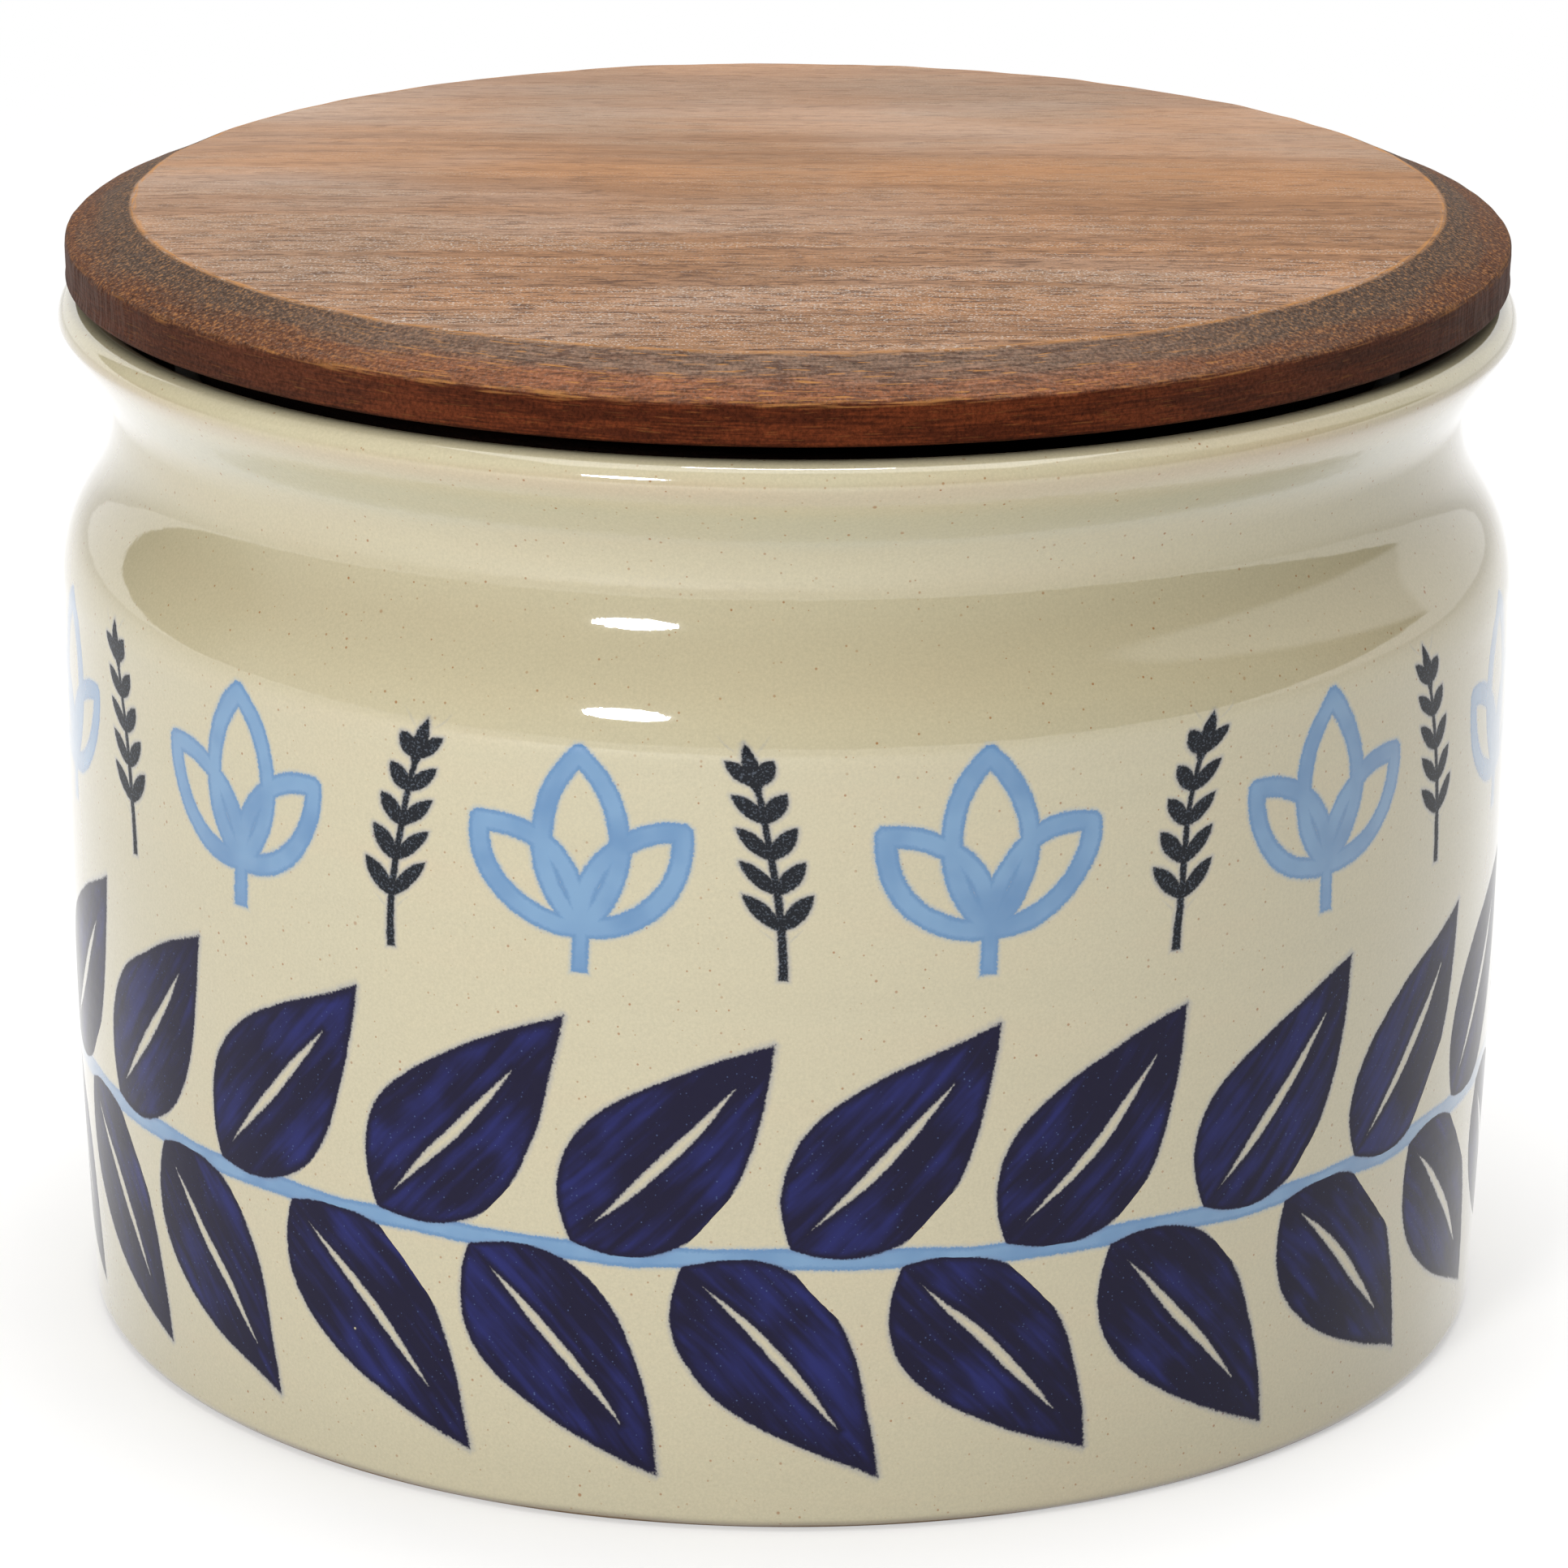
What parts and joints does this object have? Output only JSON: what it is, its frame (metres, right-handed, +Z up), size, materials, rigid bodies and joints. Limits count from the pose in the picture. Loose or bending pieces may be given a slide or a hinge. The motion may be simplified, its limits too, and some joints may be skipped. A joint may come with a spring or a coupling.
{
  "type": "lidded jar",
  "caption": "Round stoneware storage jar with a drawn-in neck and rolled rim, closed by a flat bevelled wooden lid whose plug and seal ring fit the mouth.",
  "frame": {"origin": "on the jar's axis, at the surface that the jar stands on", "axes": "+Z up along the jar's axis; the lid's grain runs along X; the picture is seen looking along +Y"},
  "size_m": [0.1312, 0.1312, 0.1019],
  "materials": {
    "glaze": "glossy cream stoneware glaze with fine iron specks and hand-painted blue decoration",
    "wood": "dry, unvarnished brown hardwood, worn lighter along its edges",
    "seal": "matt, pale, soft"
  },
  "bodies": {
    "jar": {"jar_body": "glaze"},
    "lid": {"lid": "wood", "seal_ring": "seal"}
  },
  "joints": [
    {"name": "lid_lift", "type": "slide", "parent": "jar", "child": "lid", "axis": [0, 0, 1], "range_m": [0, 0.06]}
  ]
}
